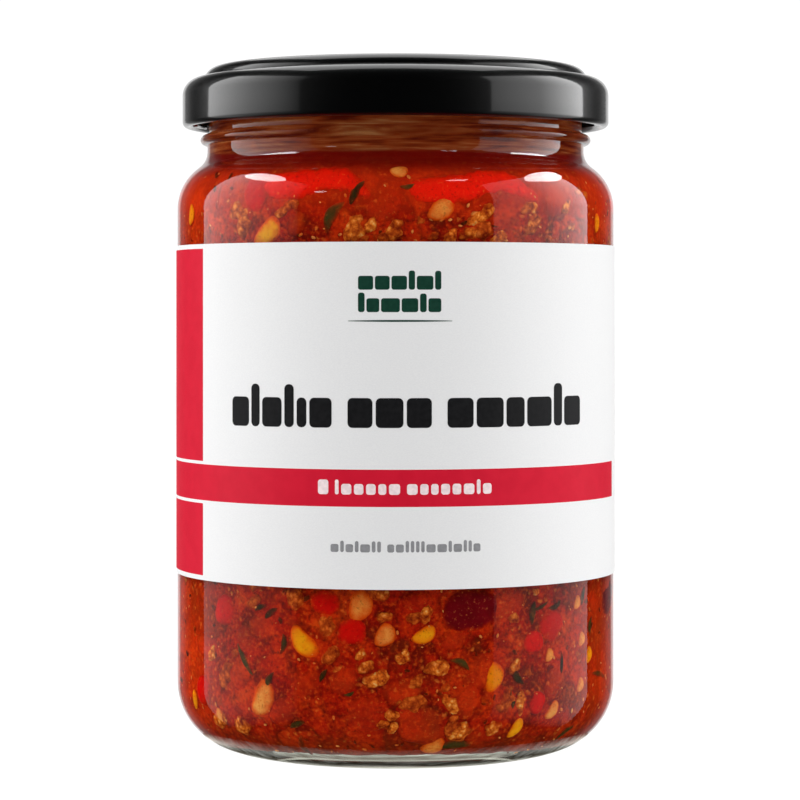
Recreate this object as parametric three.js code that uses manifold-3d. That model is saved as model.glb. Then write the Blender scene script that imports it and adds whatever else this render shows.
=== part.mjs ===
// A sealed glass jar of chili con carne: the jar, its twist-off lid, its wrapped paper label
// and the chili inside. Millimetres, +Z up. The origin is on the jar's axis, in the plane that
// the jar stands on.
import * as THREE from 'three';
import { mergeVertices } from 'three/addons/utils/BufferGeometryUtils.js';
import Module from 'manifold-3d';

const wasm = await Module();
wasm.setup();

// Driving dimensions
const TURN_STEPS = 48;               // facets round every turned surface
const CLEARANCE = 0.3;               // gap between the glass and what it holds

const BODY_RADIUS = 43.9;            // outside of the jar's straight wall
const WALL = 2.6;                    // glass thickness above the heel
const HEEL_WIDTH = 13.6;             // how far in the heel's curve runs
const HEEL_HEIGHT = 13.4;            // how far up it runs
const STAND_INNER = 25;              // inner edge of the flat ring that the jar stands on
const PUSH_UP = 1.4;                 // hollow under the middle of the base
const FLOOR_Z = 3.9;                 // inside floor of the jar
const FLOOR_CROWN = 0.7;             // how far the floor rises in the middle
const FLOOR_RADIUS = 29;             // where the floor meets the inner heel

const SHOULDER_RADIUS = 10.2;        // rounding from the wall into the shoulder
const SHOULDER_Z = 108;              // height where that rounding starts
const SHOULDER_TURN = 52;            // degrees that it turns through
const NECK_RADIUS = 37.9;            // waist between the shoulder and the bead
const NECK_FILLET = 4;

const BEAD_RADIUS = 39.3;            // ring below the lid
const BEAD_Z = 121.9;
const BEAD_HALF_HEIGHT = 1.1;
const FINISH_RADIUS = 37.6;          // glass inside the lid's skirt
const RIM_START_Z = 131;             // where the finish starts to round in to the rim
const RIM_RADIUS = 36;               // top circle of the rim
const RIM_Z = 135;
const RIM_INNER_ROUND = 0.8;

const THREAD_COUNT = 6;
const THREAD_RADIUS = 39.5;          // crest of a thread
const THREAD_Z = 128;                // middle height of a thread
const THREAD_RISE = 1.8;
const THREAD_TURN = 44;              // degrees covered by one thread
const THREAD_START = 2.3;            // keeps thread ends off the facet edges
const THREAD_HALF_HEIGHT = 0.9;
const THREAD_TAPER = 0.4;            // crest height as a share of the root's
const THREAD_ROOT = 0.7;             // how far a thread reaches into the neck
const THREAD_RUN_OUT = 0.15;         // height left at a thread's two ends
const THREAD_STEPS = 5;

const LID_RADIUS = 42.9;
const LID_WALL = 0.8;
const LID_BOTTOM = 124.4;
const LID_CORNER = 3.5;              // rounding at the top of the skirt
const LID_STEP_Z = 134.3;            // crease between the skirt and the raised ring
const LID_TOP = 136.6;
const LID_RING_RADIUS = 38.4;        // foot of the raised ring, at the crease
const LID_RING_ROUND = 3;
const LID_PANEL_RADIUS = 33;         // sunk middle panel
const LID_PANEL_Z = 135.9;
const LID_PANEL_SLOPE = 1.2;
const CURL_RADIUS = 1.1;             // rolled edge at the bottom of the skirt
const LUG_COUNT = 6;
const LUG_INNER = 40.2;
const LUG_TURN = 16;                 // degrees
const LUG_HEIGHT = 1.5;

const LABEL_BOTTOM = 35.4;
const LABEL_TOP = 100.6;
const LABEL_GLUE = 0.05;             // from the glass to the paper's back
const LABEL_PAPER = 0.2;

const CHILI_LEVEL = 126.6;

const COLOURS = {
  jar: { color: 0xc4cec6, roughness: 0.05, metalness: 0, transparent: true, opacity: 0.35 },
  lid: { color: 0x0b0b0d, roughness: 0.18, metalness: 0.2 },
  label: { color: 0xf3f1ee, roughness: 0.55, metalness: 0 },
  chili: { color: 0xa8320f, roughness: 0.35, metalness: 0 },
};

const radians = THREE.MathUtils.degToRad;

// Points on an ellipse's arc, as (radius, height) pairs, from one angle to another in degrees.
function arc(centre, width, height, from, to, steps) {
  const points = [];
  for (let i = 0; i <= steps; i += 1) {
    const angle = radians(from + ((to - from) * i) / steps);
    points.push([centre[0] + width * Math.cos(angle), centre[1] + height * Math.sin(angle)]);
  }
  return points;
}

// A body turned about the Z axis from a closed or axis-to-axis outline. LatheGeometry turns
// about Y, so the result is stood up on Z.
function turned(outline) {
  const points = outline.map(([r, z]) => new THREE.Vector2(Math.max(r, 0), z));
  const geometry = new THREE.LatheGeometry(points, TURN_STEPS);
  geometry.rotateX(Math.PI / 2);
  return welded(geometry);
}

function welded(geometry) {
  geometry.deleteAttribute('normal');
  geometry.deleteAttribute('uv');
  return mergeVertices(geometry, 1e-4);
}

function toManifold(geometry) {
  return new wasm.Manifold(new wasm.Mesh({
    numProp: 3,
    vertProperties: new Float32Array(geometry.attributes.position.array),
    triVerts: new Uint32Array(geometry.index.array),
  }));
}

function fromManifold(solid) {
  const mesh = solid.getMesh();
  const geometry = new THREE.BufferGeometry();
  geometry.setAttribute('position', new THREE.BufferAttribute(mesh.vertProperties, 3));
  geometry.setIndex(new THREE.BufferAttribute(mesh.triVerts, 1));
  return geometry;
}

function joined(base, pieces) {
  return fromManifold(pieces.reduce((sum, piece) => sum.add(toManifold(piece)), toManifold(base)));
}

// The shoulder and neck fillet, drawn a distance inside the outer surface.
function shoulder(inset, steps) {
  const turn = radians(SHOULDER_TURN);
  const round = SHOULDER_RADIUS - inset;
  const fillet = NECK_FILLET + inset;
  const roundCentre = [BODY_RADIUS - SHOULDER_RADIUS, SHOULDER_Z];
  const filletRadius = NECK_RADIUS + NECK_FILLET;
  const run = roundCentre[0] + round * Math.cos(turn) - (filletRadius - fillet * Math.cos(turn));
  const filletZ = SHOULDER_Z + (round + fillet) * Math.sin(turn) + run / Math.tan(turn);
  return [
    ...arc(roundCentre, round, round, 0, SHOULDER_TURN, steps),
    ...arc([filletRadius, filletZ], fillet, fillet, 180 + SHOULDER_TURN, 180, steps - 2),
  ];
}

// Inside of the glass from the middle of the floor up to the neck, a gap further in.
function inside(gap, steps) {
  const inset = WALL + gap;
  const heelWidth = BODY_RADIUS - inset - FLOOR_RADIUS;
  const heelHeight = HEEL_HEIGHT - FLOOR_Z - gap + 1;
  return [
    [0, FLOOR_Z + FLOOR_CROWN + gap],
    [FLOOR_RADIUS / 2, FLOOR_Z + FLOOR_CROWN * 0.75 + gap],
    ...arc([FLOOR_RADIUS, FLOOR_Z + gap + heelHeight], heelWidth, heelHeight, -90, 0, steps),
    ...shoulder(inset, steps),
  ];
}

// One thread: a ramp of glass that climbs part of the way round the finish.
function thread(startAngle) {
  const crest = THREAD_RADIUS - FINISH_RADIUS;
  const section = new THREE.Shape([
    new THREE.Vector2(-THREAD_ROOT, -THREAD_HALF_HEIGHT),
    new THREE.Vector2(-THREAD_ROOT, THREAD_HALF_HEIGHT),
    new THREE.Vector2(crest, THREAD_HALF_HEIGHT * THREAD_TAPER),
    new THREE.Vector2(crest, -THREAD_HALF_HEIGHT * THREAD_TAPER),
  ]);
  const geometry = new THREE.ExtrudeGeometry(section, { depth: 1, steps: THREAD_STEPS, bevelEnabled: false });
  const position = geometry.attributes.position;
  for (let i = 0; i < position.count; i += 1) {
    const along = 1 - position.getZ(i);
    const angle = radians(startAngle + along * THREAD_TURN);
    const fade = THREAD_RUN_OUT + (1 - THREAD_RUN_OUT) * Math.sin(Math.PI * along);
    const outward = position.getX(i);
    const radius = FINISH_RADIUS + (outward > 0 ? outward * fade : outward);
    const height = THREAD_Z + (along - 0.5) * THREAD_RISE + position.getY(i);
    position.setXYZ(i, radius * Math.cos(angle), radius * Math.sin(angle), height);
  }
  return welded(geometry);
}

function jar() {
  const finishStart = BEAD_Z + BEAD_HALF_HEIGHT;
  const rimHeight = RIM_Z - RIM_START_Z;
  const outer = [
    [0, PUSH_UP],
    [STAND_INNER * 0.6, PUSH_UP * 0.8],
    [STAND_INNER, 0],
    ...arc([BODY_RADIUS - HEEL_WIDTH, HEEL_HEIGHT], HEEL_WIDTH, HEEL_HEIGHT, -90, 0, 6),
    ...shoulder(0, 5),
    ...arc([NECK_RADIUS, BEAD_Z], BEAD_RADIUS - NECK_RADIUS, BEAD_HALF_HEIGHT, -90, 90, 4),
    [FINISH_RADIUS, finishStart],
    ...arc([RIM_RADIUS, RIM_START_Z], FINISH_RADIUS - RIM_RADIUS, rimHeight, 0, 90, 3),
  ];
  const wall = inside(0, 4);
  const mouth = wall[wall.length - 1][0];
  const inner = arc([RIM_RADIUS, RIM_Z - RIM_INNER_ROUND], RIM_RADIUS - mouth, RIM_INNER_ROUND, 90, 180, 2);
  const body = turned([...outer, ...inner.slice(1), ...wall.reverse()]);
  const threads = [];
  for (let i = 0; i < THREAD_COUNT; i += 1) {
    threads.push(thread(THREAD_START + (i * 360) / THREAD_COUNT));
  }
  return joined(body, threads);
}

// One of the tabs that the rolled edge is pressed into, which catch under the threads.
function lug(middleAngle) {
  const half = radians(LUG_TURN / 2);
  const middle = radians(middleAngle);
  const shape = new THREE.Shape();
  shape.absarc(0, 0, LUG_INNER, middle - half, middle + half, false);
  shape.absarc(0, 0, LID_RADIUS - CURL_RADIUS, middle + half, middle - half, true);
  const geometry = new THREE.ExtrudeGeometry(shape, { depth: LUG_HEIGHT, curveSegments: 2, bevelEnabled: false });
  geometry.translate(0, 0, LID_BOTTOM + CURL_RADIUS - LUG_HEIGHT / 2);
  return welded(geometry);
}

function lid() {
  const ringCentre = LID_RING_RADIUS - LID_RING_ROUND;
  const ringHeight = LID_TOP - LID_STEP_Z;
  const cornerCentre = [LID_RADIUS - LID_CORNER, LID_STEP_Z - LID_CORNER];
  const curlCentre = [LID_RADIUS - CURL_RADIUS, LID_BOTTOM + CURL_RADIUS];
  const top = [
    [0, LID_PANEL_Z],
    [LID_PANEL_RADIUS, LID_PANEL_Z],
    [LID_PANEL_RADIUS + LID_PANEL_SLOPE, LID_TOP],
    ...arc([ringCentre, LID_STEP_Z], LID_RING_ROUND, ringHeight, 90, 0, 3),
    ...arc(cornerCentre, LID_CORNER, LID_CORNER, 90, 0, 4),
    ...arc(curlCentre, CURL_RADIUS, CURL_RADIUS, 0, -180, 4),
  ];
  const thin = LID_CORNER - LID_WALL;
  const underside = [
    [LID_RADIUS - LID_WALL, LID_BOTTOM + 2 * CURL_RADIUS],
    ...arc(cornerCentre, thin, thin, 0, 90, 3),
    ...arc([ringCentre, LID_STEP_Z], LID_RING_ROUND - LID_WALL, ringHeight - LID_WALL, 0, 90, 2),
    [LID_PANEL_RADIUS + LID_PANEL_SLOPE, LID_TOP - LID_WALL],
    [LID_PANEL_RADIUS, LID_PANEL_Z - LID_WALL],
    [0, LID_PANEL_Z - LID_WALL],
  ];
  const shell = turned([...top, ...underside].reverse());
  const lugs = [];
  for (let i = 0; i < LUG_COUNT; i += 1) {
    lugs.push(lug(((i + 0.5) * 360) / LUG_COUNT + THREAD_TURN / 2));
  }
  return joined(shell, lugs);
}

function label() {
  const back = BODY_RADIUS + LABEL_GLUE;
  const face = back + LABEL_PAPER;
  return turned([
    [back, LABEL_BOTTOM],
    [face, LABEL_BOTTOM],
    [face, LABEL_TOP],
    [back, LABEL_TOP],
    [back, LABEL_BOTTOM],
  ]);
}

function chili() {
  const outline = inside(CLEARANCE, 5);
  const neck = outline[outline.length - 1][0];
  return turned([...outline, [neck, CHILI_LEVEL], [0, CHILI_LEVEL]]);
}

function part(name, geometry) {
  const mesh = new THREE.Mesh(geometry, new THREE.MeshStandardMaterial(COLOURS[name]));
  mesh.name = name;
  return mesh;
}

const jarOfChili = new THREE.Group();
jarOfChili.add(part('jar', jar()));
jarOfChili.add(part('lid', lid()));
jarOfChili.add(part('label', label()));
jarOfChili.add(part('chili', chili()));

export default jarOfChili;
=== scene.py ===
import math
import random

import bpy
import numpy as np
from mathutils import Matrix, Vector


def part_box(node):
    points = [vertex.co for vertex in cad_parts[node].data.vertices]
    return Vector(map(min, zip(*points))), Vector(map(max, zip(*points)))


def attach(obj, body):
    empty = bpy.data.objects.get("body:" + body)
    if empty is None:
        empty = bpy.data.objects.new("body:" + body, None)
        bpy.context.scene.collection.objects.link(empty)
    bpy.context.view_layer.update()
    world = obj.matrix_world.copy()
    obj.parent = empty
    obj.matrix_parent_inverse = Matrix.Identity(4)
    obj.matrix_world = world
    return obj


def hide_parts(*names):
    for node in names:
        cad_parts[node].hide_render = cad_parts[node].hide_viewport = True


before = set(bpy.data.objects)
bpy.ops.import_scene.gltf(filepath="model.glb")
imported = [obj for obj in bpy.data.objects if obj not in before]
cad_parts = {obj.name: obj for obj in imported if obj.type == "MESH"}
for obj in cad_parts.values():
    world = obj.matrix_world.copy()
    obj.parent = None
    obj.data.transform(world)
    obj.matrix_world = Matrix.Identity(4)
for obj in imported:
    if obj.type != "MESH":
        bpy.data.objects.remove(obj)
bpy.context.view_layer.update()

MM = 0.001
STEPS = 192                 # facets round a turned surface
SAUCE_STEPS = 400
ROOT = "root"

# Sizes that the frame gives
body_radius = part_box("jar")[1].x
rim_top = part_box("jar")[1].z
lid_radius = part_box("lid")[1].x
lid_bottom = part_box("lid")[0].z
lid_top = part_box("lid")[1].z
label_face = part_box("label")[1].x
label_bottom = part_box("label")[0].z
label_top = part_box("label")[1].z
fill_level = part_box("chili")[1].z

# Glass
WALL = 2.6 * MM
HEEL = (13.6 * MM, 13.4 * MM)          # width and height of the rounded heel
STAND_INNER = 25 * MM
PUSH_UP = 1.4 * MM
FLOOR = 3.9 * MM
FLOOR_CROWN = 0.7 * MM
FLOOR_RADIUS = 29 * MM
SHOULDER = 10.2 * MM
SHOULDER_START = 108 * MM
SHOULDER_TURN = 52                     # degrees
NECK = 37.9 * MM
NECK_FILLET = 4 * MM
BEAD = (39.3 * MM, 121.9 * MM, 1.1 * MM)   # radius, height, half height
FINISH = 37.6 * MM
RIM = (36 * MM, 131 * MM)              # top circle's radius, and where its rounding starts
THREADS = 6

# Lid
LID_WALL = 0.45 * MM
LID_CORNER = 3.5 * MM
LID_CREASE = 134.3 * MM
RING = (38.4 * MM, 3 * MM)             # foot of the raised ring, and its rounding
PANEL = (33 * MM, 135.9 * MM)
CURL = 1.1 * MM

# How far the fill and its pieces reach into the glass
SAUCE_REACH = 0.05 * MM
SAUCE_RELIEF = 0.45 * MM
PIECE_REACH = 1.05 * MM
FLOOR_CONTACT = 34.9 * MM              # inside this radius the fill stands clear of the floor,
FLOOR_GAP = 0.25 * MM                  # so that the thick base shows as clear glass


# ---------------------------------------------------------------- outlines

def arc(centre, width, height, start, end, steps):
    """Points along part of an ellipse, between two angles in degrees."""
    turns = [math.radians(start + (end - start) * i / steps) for i in range(steps + 1)]
    return [(centre[0] + width * math.cos(t), centre[1] + height * math.sin(t)) for t in turns]


def shoulder(inset, steps):
    """Shoulder round and neck fillet, a distance inside the glass's outer surface."""
    turn = math.radians(SHOULDER_TURN)
    inner, fillet = SHOULDER - inset, NECK_FILLET + inset
    centre = (body_radius - SHOULDER, SHOULDER_START)
    run = centre[0] + inner * math.cos(turn) - (NECK + NECK_FILLET - fillet * math.cos(turn))
    fillet_height = SHOULDER_START + (inner + fillet) * math.sin(turn) + run / math.tan(turn)
    return (arc(centre, inner, inner, 0, SHOULDER_TURN, steps)
            + arc((NECK + NECK_FILLET, fillet_height), fillet, fillet, 180 + SHOULDER_TURN, 180, steps))


def inside_wall(steps):
    """The glass's inner surface from the middle of the floor up to the neck."""
    height = HEEL[1] - FLOOR + MM
    width = body_radius - WALL - FLOOR_RADIUS
    return ([(0, FLOOR + FLOOR_CROWN), (FLOOR_RADIUS * 0.5, FLOOR + FLOOR_CROWN * 0.75)]
            + arc((FLOOR_RADIUS, FLOOR + height), width, height, -90, 0, steps)
            + shoulder(WALL, steps))


def evenly(outline, gap):
    """The same outline with its points about a gap apart."""
    points = np.array(outline)
    lengths = np.hypot(*np.diff(points, axis=0).T)
    along = np.concatenate([[0], np.cumsum(lengths)])
    places = np.linspace(0, along[-1], max(2, int(along[-1] / gap)))
    return list(zip(np.interp(places, along, points[:, 0]), np.interp(places, along, points[:, 1])))


# ---------------------------------------------------------------- modelling helpers

def added(name, primitive, **settings):
    """A new primitive, the only thing selected."""
    bpy.ops.object.select_all(action="DESELECT")
    primitive(**settings)
    piece = bpy.context.object
    piece.name = piece.data.name = name
    return piece


def edit():
    """Goes into edit mode with everything selected."""
    bpy.ops.object.mode_set(mode="EDIT")
    bpy.ops.mesh.select_all(action="SELECT")


def done():
    """Goes back to object mode."""
    bpy.ops.object.mode_set(mode="OBJECT")


def only(*pieces):
    """Selects these pieces and nothing else; the first is the active one."""
    bpy.ops.object.select_all(action="DESELECT")
    for piece in pieces:
        piece.select_set(True)
    bpy.context.view_layer.objects.active = pieces[0]


def settled(piece):
    """Puts the piece's place, turn and size into its mesh."""
    only(piece)
    bpy.ops.object.transform_apply(location=True, rotation=True, scale=True)
    return piece


def modified(piece, kind, **settings):
    """Adds a modifier and applies it."""
    only(piece)
    modifier = piece.modifiers.new(kind.title(), kind)
    for key, value in settings.items():
        setattr(modifier, key, value)
    bpy.ops.object.modifier_apply(modifier=modifier.name)
    return piece


def joined(name, pieces):
    """One piece made of several, with its place in its mesh."""
    only(*pieces)
    if len(pieces) > 1:
        bpy.ops.object.join()
    piece = bpy.context.object
    piece.name = piece.data.name = name
    return settled(piece)


def turned(name, outline, steps=STEPS):
    """A corner drawn along an outline of (radius, height) points, then spun once round the Z axis."""
    piece = added(name, bpy.ops.mesh.primitive_plane_add, size=MM)
    edit()
    bpy.ops.mesh.merge(type="CENTER")
    bpy.ops.transform.translate(value=(outline[0][0], 0, outline[0][1]))
    for (r0, z0), (r1, z1) in zip(outline, outline[1:]):
        bpy.ops.mesh.extrude_vertices_move(TRANSFORM_OT_translate={"value": (r1 - r0, 0, z1 - z0)})
    bpy.ops.mesh.select_all(action="SELECT")
    bpy.ops.mesh.spin(steps=steps, angle=2 * math.pi, center=(0, 0, 0), axis=(0, 0, 1))
    bpy.ops.mesh.select_all(action="SELECT")
    bpy.ops.mesh.remove_doubles(threshold=0.001 * MM)
    bpy.ops.mesh.normals_make_consistent(inside=False)
    done()
    return piece


def smooth(piece, angle=None):
    """Shades smoothly, or keeps edges that are sharper than an angle in degrees."""
    only(piece)
    if angle is None:
        bpy.ops.object.shade_smooth()
    else:
        bpy.ops.object.shade_smooth_by_angle(angle=math.radians(angle))
    return piece


def corners(piece):
    """All of the mesh's vertices as rows of x, y, z."""
    places = np.empty(len(piece.data.vertices) * 3, np.float64)
    piece.data.vertices.foreach_get("co", places)
    return places.reshape(-1, 3)


def moved(piece, places):
    """Gives the mesh's vertices new places."""
    piece.data.vertices.foreach_set("co", np.ascontiguousarray(places, np.float64).ravel())
    piece.data.update()
    return piece


def marked(piece, name, values):
    """Stores one number for each vertex under a name that materials read."""
    attribute = piece.data.attributes.new(name, "FLOAT", "POINT")
    attribute.data.foreach_set("value", np.ascontiguousarray(values, np.float32))
    return piece


def wrapped(piece, radius):
    """Bends a flat piece, drawn as distance round, height and thickness, round the Z axis."""
    flat = corners(piece)
    turn = flat[:, 0] / radius
    reach = radius + flat[:, 2]
    return moved(piece, np.column_stack([reach * np.sin(turn), -reach * np.cos(turn), flat[:, 1]]))


# ---------------------------------------------------------------- material helpers

class Value:
    """A shader socket that takes part in sums."""

    def __init__(self, paint, socket):
        self.paint, self.socket = paint, socket

    def _math(self, operation, *values):
        return self.paint.node("ShaderNodeMath", {"operation": operation}, dict(enumerate(values)))

    def __add__(self, other):
        return self._math("ADD", self, other)

    def __sub__(self, other):
        return self._math("SUBTRACT", self, other)

    def __rsub__(self, other):
        return self._math("SUBTRACT", other, self)

    def __mul__(self, other):
        return self._math("MULTIPLY", self, other)

    def __lt__(self, other):
        return self._math("LESS_THAN", self, other)

    def __gt__(self, other):
        return self._math("GREATER_THAN", self, other)

    __radd__ = __add__
    __rmul__ = __mul__

    def larger(self, other):
        return self._math("MAXIMUM", self, other)

    def angle(self, other):
        """The direction of a point with this as its height and other as its distance."""
        return self._math("ARCTAN2", self, other)

    def between(self, low, high):
        return (self > low) * (self < high)


class Paint:
    """A material, or a world, in the making."""

    def __init__(self, name, owner=None):
        self.material = owner or bpy.data.materials.new(name)
        self.material.use_nodes = True
        self.tree = self.material.node_tree
        self.tree.nodes.clear()
        self.place = self.node("ShaderNodeTexCoord", output="Object")

    def node(self, kind, settings=None, inputs=None, output=0):
        """Adds a node: its settings first, then a value or a link for each named socket."""
        made = self.tree.nodes.new(kind)
        for key, value in (settings or {}).items():
            if key == "stops":
                self._stops(made.color_ramp, value)
            else:
                setattr(made, key, value)
        for key, value in (inputs or {}).items():
            if isinstance(value, Value):
                self.tree.links.new(value.socket, made.inputs[key])
            else:
                made.inputs[key].default_value = value
        return Value(self, made.outputs[output]) if made.outputs else None

    @staticmethod
    def _stops(ramp, stops):
        while len(ramp.elements) < len(stops):
            ramp.elements.new(1)
        for element, (position, colour) in zip(ramp.elements, stops):
            element.position, element.color = position, (*colour, 1)

    def axis(self, name):
        return self.node("ShaderNodeSeparateXYZ", inputs={"Vector": self.place}, output=name)

    def shifted(self, offset=(0, 0, 0), scale=(1, 1, 1), turn=(0, 0, 0)):
        """Object coordinates moved, turned and stretched."""
        return self.node("ShaderNodeMapping", inputs={
            "Vector": self.place, "Location": offset, "Rotation": turn, "Scale": scale})

    def noise(self, size, detail=2.0, rough=0.5, place=None, bend=0.0):
        return self.node("ShaderNodeTexNoise", inputs={
            "Vector": place or self.place, "Scale": 1 / size, "Detail": detail,
            "Roughness": rough, "Distortion": bend})

    def cells(self, size, place=None, feature="F1", output="Distance"):
        return self.node("ShaderNodeTexVoronoi", {"feature": feature}, {
            "Vector": place or self.place, "Scale": 1 / size}, output)

    def warped(self, size, depth, scale=(1, 1, 1)):
        """Object coordinates bent by a cloud, so that cells get uneven outlines."""
        cloud = self.node("ShaderNodeTexNoise", inputs={
            "Vector": self.place, "Scale": 1 / size, "Detail": 2.0}, output="Color")
        push = self.node("ShaderNodeVectorMath", {"operation": "MULTIPLY_ADD"}, {
            0: cloud, 1: (2 * depth,) * 3, 2: self.shifted((-depth,) * 3, scale)})
        return push

    def each_cell(self, size, place=None):
        """A random number that is the same all over each cell."""
        colour = self.cells(size, place, output="Color")
        return self.node("ShaderNodeSeparateColor", inputs={0: colour})

    def stored(self, name):
        return self.node("ShaderNodeAttribute", {"attribute_name": name}, output="Fac")

    def ramp(self, value, *stops):
        return self.node("ShaderNodeValToRGB", {"stops": stops}, {"Fac": value})

    def remap(self, value, low, high, to_low=0.0, to_high=1.0):
        return self.node("ShaderNodeMapRange", {"interpolation_type": "SMOOTHSTEP"}, {
            "Value": value, "From Min": low, "From Max": high, "To Min": to_low, "To Max": to_high})

    def remap_straight(self, value, low, high):
        return self.node("ShaderNodeMapRange", inputs={"Value": value, "From Min": low, "From Max": high})

    def mix(self, share, first, second, blend="MIX"):
        """Two colours mixed. Plain triples are allowed in place of colour links."""
        colours = [c if isinstance(c, Value) else (*c, 1) for c in (first, second)]
        return self.node("ShaderNodeMix", {"data_type": "RGBA", "blend_type": blend},
                         {0: share, 6: colours[0], 7: colours[1]}, 2)

    def bump(self, height, depth, strength=1.0, normal=None):
        inputs = {"Height": height, "Distance": depth, "Strength": strength}
        if normal is not None:
            inputs["Normal"] = normal
        return self.node("ShaderNodeBump", inputs=inputs)

    def surface(self, colour, roughness, **more):
        """The Principled shader; more sockets are named with underscores for spaces."""
        inputs = {"Base Color": colour if isinstance(colour, Value) else (*colour, 1),
                  "Roughness": roughness}
        for key, value in more.items():
            inputs[key.replace("_", " ")] = value
        return self.node("ShaderNodeBsdfPrincipled", inputs=inputs)

    def finished(self, shader):
        self.node("ShaderNodeOutputMaterial", inputs={"Surface": shader})
        return self.material


def dressed(piece, material):
    """Gives the piece its material and the body that carries it."""
    piece.data.materials.clear()
    piece.data.materials.append(material)
    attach(piece, ROOT)
    return piece


# ---------------------------------------------------------------- glass

def glass_thread(start):
    """One ramp of glass round the finish, for the lid's tabs to catch under."""
    turn, rise, height, crest = math.radians(44), 1.8 * MM, 128 * MM, 1.9 * MM
    steps = 24
    piece = added("thread", bpy.ops.mesh.primitive_grid_add, x_subdivisions=steps, y_subdivisions=6, size=2)
    grid = corners(piece)
    share = (grid[:, 0] + 1) / 2
    across = grid[:, 1]
    swell = np.sin(np.pi * np.clip(share, 0, 1)) ** 0.5 * (1 - across ** 2) ** 0.5
    reach = FINISH - 0.3 * MM + (crest + 0.3 * MM) * swell
    angle = start + share * turn
    level = height + (share - 0.5) * rise + across * 1.0 * MM
    return moved(piece, np.column_stack([reach * np.cos(angle), reach * np.sin(angle), level]))


def make_glass():
    """The jar: its outside from the base up, its inside back down, and the thread's ramps."""
    bead_radius, bead_height, bead_half = BEAD
    outer = ([(0, PUSH_UP), (STAND_INNER * 0.35, PUSH_UP * 0.97), (STAND_INNER * 0.7, PUSH_UP * 0.75)]
             + arc((STAND_INNER, 0.45 * MM), 1.6 * MM, 0.45 * MM, 150, 270, 6)
             + arc((body_radius - HEEL[0], HEEL[1]), *HEEL, -90, 0, 28)
             + shoulder(0, 18)
             + arc((NECK, bead_height), bead_radius - NECK, bead_half, -90, 90, 14)
             + [(FINISH, bead_height + bead_half + 0.3 * MM)]
             + arc(RIM, FINISH - RIM[0], rim_top - RIM[1], 0, 90, 10))
    wall = inside_wall(20)
    mouth = wall[-1][0]
    rounding = 0.8 * MM
    inner = arc((RIM[0], rim_top - rounding), RIM[0] - mouth, rounding, 90, 180, 6)
    glass = turned("jar_glass", outer + inner[1:] + wall[::-1])
    threads = [glass_thread(math.radians(2.3) + 2 * math.pi * i / THREADS) for i in range(THREADS)]
    for thread in threads:
        modified(thread, "SOLIDIFY", thickness=0.3 * MM, offset=-1)
    return smooth(joined("jar_glass", [glass] + threads), 40)


def glass_finish():
    """Clear glass with a faint grey-green cast, which lets lamps through to what it holds."""
    paint = Paint("clear_glass")
    waves = paint.noise(26 * MM, detail=1)
    clear = paint.surface((0.93, 0.965, 0.94), 0.012, IOR=1.5, Transmission_Weight=1.0,
                          Normal=paint.bump(waves, 0.25 * MM, 0.25))
    lamp = paint.node("ShaderNodeBsdfTransparent", inputs={"Color": (0.95, 0.97, 0.95, 1)})
    path = paint.node("ShaderNodeLightPath", output="Is Shadow Ray")
    return paint.finished(paint.node("ShaderNodeMixShader", inputs={0: path, 1: clear, 2: lamp}))


# ---------------------------------------------------------------- lid

def make_lid():
    """A twist-off lid of thin sheet with a raised ring, a sunk panel, a rolled edge and tabs."""
    ring_centre = (RING[0] - RING[1], LID_CREASE)
    ring_height = lid_top - LID_CREASE
    corner = (lid_radius - LID_CORNER, LID_CREASE - LID_CORNER)
    curl = (lid_radius - CURL, lid_bottom + CURL)
    thin = LID_CORNER - LID_WALL
    outer = ([(0, PANEL[1]), (12 * MM, PANEL[1])]
             + arc((PANEL[0] - MM, PANEL[1] + MM), MM, MM, -90, -35, 5)
             + arc((PANEL[0] + 2.2 * MM, lid_top - 1.2 * MM), 1.6 * MM, 1.2 * MM, 150, 90, 6)
             + arc(ring_centre, RING[1], ring_height, 90, 8, 16)
             + arc((RING[0] + 0.45 * MM, LID_CREASE + 0.3 * MM), 0.45 * MM, 0.3 * MM, 180, 270, 5)
             + arc(corner, LID_CORNER, LID_CORNER, 90, 0, 16)
             + arc(curl, CURL, CURL, 0, -250, 22))
    under = ([(lid_radius - LID_WALL, lid_bottom + 2.4 * CURL)]
             + arc(corner, thin, thin, 0, 90, 12)
             + arc(ring_centre, RING[1] - LID_WALL, ring_height - LID_WALL, 0, 90, 12)
             + [(PANEL[0] + MM, lid_top - LID_WALL - 0.2 * MM), (PANEL[0], PANEL[1] - LID_WALL),
                (0, PANEL[1] - LID_WALL)])
    shell = turned("lid_shell", outer + under)
    tabs = [lid_tab((i + 0.5) * 2 * math.pi / THREADS + math.radians(22)) for i in range(THREADS)]
    return smooth(joined("lid_shell", [shell] + tabs), 35)


def lid_tab(middle):
    """A stretch of the rolled edge that is pressed in under a thread."""
    tab = added("tab", bpy.ops.mesh.primitive_cube_add, size=1)
    edit()
    bpy.ops.transform.resize(value=(2.4 * MM, 11 * MM, 1.3 * MM))
    bpy.ops.mesh.subdivide(number_cuts=3)
    bpy.ops.mesh.select_all(action="SELECT")
    done()
    block = corners(tab)
    reach = lid_radius - CURL - 0.6 * MM + block[:, 0]
    angle = middle + block[:, 1] / lid_radius
    level = lid_bottom + CURL + block[:, 2]
    moved(tab, np.column_stack([reach * np.cos(angle), reach * np.sin(angle), level]))
    return modified(tab, "BEVEL", width=0.35 * MM, segments=2)


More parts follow.
